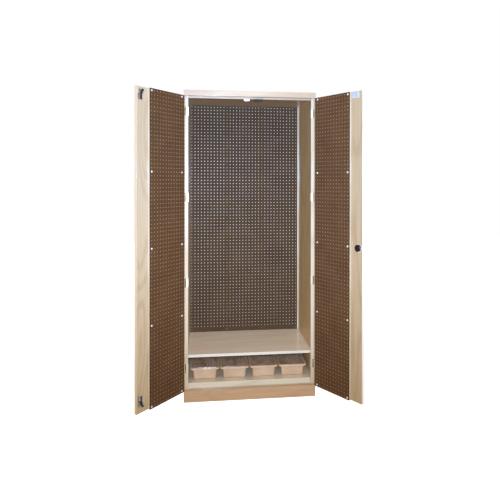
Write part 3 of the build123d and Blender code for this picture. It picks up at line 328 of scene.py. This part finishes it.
# The birch entries here are the copies painted with light and shade above.
OWN_FINISH = {
    "deck_cleats": pine["y"], "back_battens": pine["z"], "door_battens_left": pine["z"],
    "door_battens_right": pine["z"], "base_boards": pine["x"], "door_left": birch_doors_painted_light_and_shade["left"],
    "door_right": birch_doors_painted_light_and_shade["right"], "stile_left": birch_stile_painted_light, "stile_right": birch_stile_painted_light,
    "top_panel": birch_level_painted_shade, "top_fascia": birch_level_painted_shade, "bottom_panel": birch_level_painted_shade,
    "front_sill": birch_level_painted_shade, "top_rail": birch_level_painted_shade, "tray_deck": birch_deck_painted_light, "shelf": birch_shelf_painted_light,
    "magnet_plate": plate_zinc, "back_panel": backing, "back_pegboard_screws": bronze_screw,
}

for part in frame["record"]["subparts"]:
    node = frame["nodes"][part["node"]]
    finish = OWN_FINISH.get(part["node"], FINISHES[part["material_slot"]])
    for material_slot in node.material_slots:
        material_slot.material = finish


def drilled_board(name, columns, rows, x_edges, z_edges, y_faces, scallop=None):
    """A board with round holes cut through it, and half holes along its first edge if scallop is set."""
    points, faces, cuts, edge_shade_faces, seen = [], [], [], [], {}

    def point(x, y, z):
        key = (round(x * 1e6), round(y * 1e6), round(z * 1e6))
        if key not in seen:
            seen[key] = len(points)
            points.append((x, y, z))
        return seen[key]

    def cut(ring, outer):
        """The two faces and the wall between a chain of points on the hole and one round the cell."""
        for (a, b), (c, d) in zip(zip(ring, ring[1:]), zip(outer, outer[1:])):
            front = [point(p[0], y_faces[0], p[1]) for p in (a, b, d, c)]
            back = [point(p[0], y_faces[1], p[1]) for p in (c, d, b, a)]
            faces.append(front)
            faces.append(back)
            cuts.append(len(faces))
            faces.append([front[1], front[0], back[3], back[2]])
            inside_x = x_edges[0] < c[0] < x_edges[1] or x_edges[0] < d[0] < x_edges[1]
            inside_z = z_edges[0] < c[1] < z_edges[1] or z_edges[0] < d[1] < z_edges[1]
            # Walls on the board's outer edge take the dark finish: painted shade along the edges.
            if not (inside_x and inside_z):
                edge_shade_faces.append(len(faces))
                faces.append([front[3], front[2], back[1], back[0]])

    def around(x, z, low_x, high_x, low_z, high_z, angle):
        """Where the cell's border has its partner for the hole's point at this angle."""
        r = HOLE_RADIUS
        side = {15: (high_x, z + r), 45: (high_x, high_z), 75: (x + r, high_z),
                105: (x - r, high_z), 135: (low_x, high_z), 165: (low_x, z + r),
                195: (low_x, z - r), 225: (low_x, low_z), 255: (x - r, low_z),
                285: (x + r, low_z), 315: (high_x, low_z), 345: (high_x, z - r)}
        return side[angle]

    def bounds_of(values, low, high):
        middles = [(a + b) / 2 for a, b in zip(values, values[1:])]
        return [low] + middles + [high]

    first_x = columns[0] - PITCH / 2 if scallop is not None else x_edges[0]
    x_bounds = bounds_of(columns, first_x, x_edges[1])
    z_bounds = bounds_of(rows, z_edges[0], z_edges[1])
    for j, z in enumerate(rows):
        for i, x in enumerate(columns):
            cell = (x_bounds[i], x_bounds[i + 1], z_bounds[j], z_bounds[j + 1])
            angles = HOLE_ANGLES + HOLE_ANGLES[:1]
            ring = [(x + HOLE_RADIUS * math.cos(math.radians(a)),
                     z + HOLE_RADIUS * math.sin(math.radians(a))) for a in angles]
            cut(ring, [around(x, z, *cell, a) for a in angles])
        if scallop is not None:
            limit = math.degrees(math.acos((x_edges[0] - scallop) / HOLE_RADIUS))
            arc = [-limit, -75, -45, -15, 15, 45, 75, limit]
            ring = [(scallop + HOLE_RADIUS * math.cos(math.radians(a)),
                     z + HOLE_RADIUS * math.sin(math.radians(a))) for a in arc]
            cell = (x_edges[0], first_x, z_bounds[j], z_bounds[j + 1])
            outer = [(x_edges[0], cell[2])] + [around(scallop, z, *cell, a % 360) for a in arc[1:-1]]
            outer.append((x_edges[0], cell[3]))
            cut(ring, outer)
            for a, b in ((outer[0], ring[0]), (ring[-1], outer[-1])):
                cuts.append(len(faces))
                faces.append([point(p[0], y, p[1]) for p, y in
                              ((b, y_faces[0]), (a, y_faces[0]), (a, y_faces[1]), (b, y_faces[1]))])
    mesh = bpy.data.meshes.new(name)
    mesh.from_pydata(points, [], faces)
    # Slot 1 holds the hole walls; slot 2 the outer edge walls with their painted shade.
    for slot, chosen in ((1, cuts), (2, edge_shade_faces)):
        for index in chosen:
            mesh.polygons[index].material_index = slot
    board = bmesh.new()
    board.from_mesh(mesh)
    bmesh.ops.recalc_face_normals(board, faces=board.faces)
    board.to_mesh(mesh)
    board.free()
    piece = bpy.data.objects.new(name, mesh)
    bpy.context.scene.collection.objects.link(piece)
    return piece


def swing(piece, side):
    """Bring a piece of the closed left door to where its own door stands."""
    matrix = Matrix.Identity(4)
    if side > 0:
        matrix = Matrix.Scale(-1, 4, (1, 0, 0))
    angle = math.radians(RIGHT_OPEN if side > 0 else -LEFT_OPEN)
    pivot = Matrix.Translation((side * PIVOT[0], PIVOT[1], 0))
    matrix = pivot @ Matrix.Rotation(angle, 4, "Z") @ pivot.inverted() @ matrix
    piece.data.transform(matrix)
    if side > 0:
        piece.data.flip_normals()


low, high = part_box("back_pegboard")
back_first = low.x + PITCH / 2
back_board = drilled_board(
    "back_board_drilled",
    [back_first + i * PITCH for i in range(BACK_COLUMNS)],
    [high.z - BACK_FROM_TOP - (BACK_ROWS - 1 - j) * PITCH for j in range(BACK_ROWS)],
    (low.x, high.x), (low.z, high.z), (low.y, high.y),
)
for finish in (board_back, board_cut, board_edge_shade):
    back_board.data.materials.append(finish)
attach(back_board, "carcass")
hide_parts("back_pegboard")

for side, hand in ((-1, "left"), (1, "right")):
    low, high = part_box("door_pegboard_" + hand)
    scallop_x = DOOR_BOARD_HINGE_EDGE - SCALLOP_OFFSET
    columns = [scallop_x + (i + 1) * PITCH for i in range(DOOR_COLUMNS)]
    first_z = (low.z + high.z - (DOOR_ROWS - 1) * PITCH) / 2
    door_board = drilled_board(
        "door_board_drilled_" + hand, columns, [first_z + j * PITCH for j in range(DOOR_ROWS)],
        (DOOR_BOARD_HINGE_EDGE, columns[-1] + PITCH / 2), (low.z, high.z),
        (DOOR_BOARD_FRONT, DOOR_BOARD_BACK), scallop_x,
    )
    swing(door_board, side)
    for finish in (board_door, board_cut, board_edge_shade):
        door_board.data.materials.append(finish)
    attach(door_board, hand + "_door")
    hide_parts("door_pegboard_" + hand)

# Camera
yaw, pitch, roll = (math.radians(v) for v in (CAMERA_YAW, CAMERA_PITCH, CAMERA_ROLL))
forward = Vector((math.sin(yaw) * math.cos(pitch), math.cos(yaw) * math.cos(pitch), math.sin(pitch)))
right = Vector((math.cos(yaw), -math.sin(yaw), 0))
up = right.cross(forward)
right, up = right * math.cos(roll) + up * math.sin(roll), up * math.cos(roll) - right * math.sin(roll)
camera_data = bpy.data.cameras.new("camera")
camera_data.sensor_fit = "HORIZONTAL"
camera_data.sensor_width = SENSOR
camera_data.lens = FOCAL / IMAGE * SENSOR
camera_data.shift_x = (IMAGE / 2 - PRINCIPAL[0]) / IMAGE
camera_data.shift_y = (PRINCIPAL[1] - IMAGE / 2) / IMAGE
camera = bpy.data.objects.new("camera", camera_data)
turn = Matrix((right, up, -forward)).transposed().to_4x4()
camera.matrix_world = Matrix.Translation(CAMERA_PLACE) @ turn
bpy.context.scene.collection.objects.link(camera)
bpy.context.scene.camera = camera

# Light
bpy.context.scene.view_settings.view_transform = "Standard"
world = bpy.data.worlds.new("studio")
bpy.context.scene.world = world
world.use_nodes = True
tree = world.node_tree
ambient = tree.nodes["Background"]
ambient.inputs["Color"].default_value = (*AMBIENT_COLOUR, 1.0)
ambient.inputs["Strength"].default_value = AMBIENT_POWER
backdrop = tree.nodes.new("ShaderNodeBackground")
backdrop.inputs["Color"].default_value = (1.0, 1.0, 1.0, 1.0)
chooser = tree.nodes.new("ShaderNodeMixShader")
path = tree.nodes.new("ShaderNodeLightPath")
tree.links.new(path.outputs["Is Camera Ray"], chooser.inputs[0])
tree.links.new(ambient.outputs[0], chooser.inputs[1])
tree.links.new(backdrop.outputs[0], chooser.inputs[2])
tree.links.new(chooser.outputs[0], tree.nodes["World Output"].inputs["Surface"])


def aim(light, place, target):
    """Put a light in the scene so that it faces a point."""
    piece = bpy.data.objects.new(light.name, light)
    piece.location = place
    piece.rotation_euler = (Vector(target) - Vector(place)).to_track_quat("-Z", "Y").to_euler()
    bpy.context.scene.collection.objects.link(piece)


for name, power, colour, place, target, cone in (
        ("front_light", FRONT_POWER, FRONT_COLOUR, (-0.2654, -3.76, 1.62), (0.0, -0.3, 1.75), 72),
        ("low_light", LOW_POWER, LOW_COLOUR, (-0.2654, -3.70, 1.35), (0.0, -0.3, 0.05), 60)):
    lamp = bpy.data.lights.new(name, "SPOT")
    lamp.energy = power
    lamp.color = colour
    lamp.shadow_soft_size = SPOT_RADIUS
    lamp.spot_size = math.radians(cone)
    lamp.spot_blend = 1.0
    aim(lamp, place, target)
lamp = bpy.data.lights.new("high_light", "AREA")
lamp.shape = "DISK"
lamp.size = HIGH_SIZE
lamp.energy = HIGH_POWER
aim(lamp, (0.2, -2.6, 3.4), (0.0, 0.0, 1.6))

# Floor
floor_mesh = bpy.data.meshes.new("floor")
floor_mesh.from_pydata([(x * FLOOR_HALF, y * FLOOR_HALF, 0)
                        for x, y in ((-1, -1), (1, -1), (1, 1), (-1, 1))], [], [(0, 1, 2, 3)])
floor_piece = bpy.data.objects.new("floor", floor_mesh)
bpy.context.scene.collection.objects.link(floor_piece)
floor_shader = Shader("floor_paint", roughness=0.9)
floor_shader.colour(rgb(238, 232, 224))
glow = floor_shader.add("ShaderNodeEmission", {"Color": (1.0, 1.0, 1.0, 1.0), "Strength": FLOOR_GLOW})
seen = floor_shader.add("ShaderNodeMixShader", {
    0: floor_shader.add("ShaderNodeLightPath").outputs["Is Camera Ray"],
    1: floor_shader.surface.outputs["BSDF"],
    2: floor_shader.add("ShaderNodeAddShader", {
        0: floor_shader.surface.outputs["BSDF"], 1: glow.outputs["Emission"]}).outputs["Shader"],
})
floor_shader.put(floor_shader.tree.nodes["Material Output"].inputs["Surface"], seen.outputs["Shader"])
floor_mesh.materials.append(floor_shader.material)
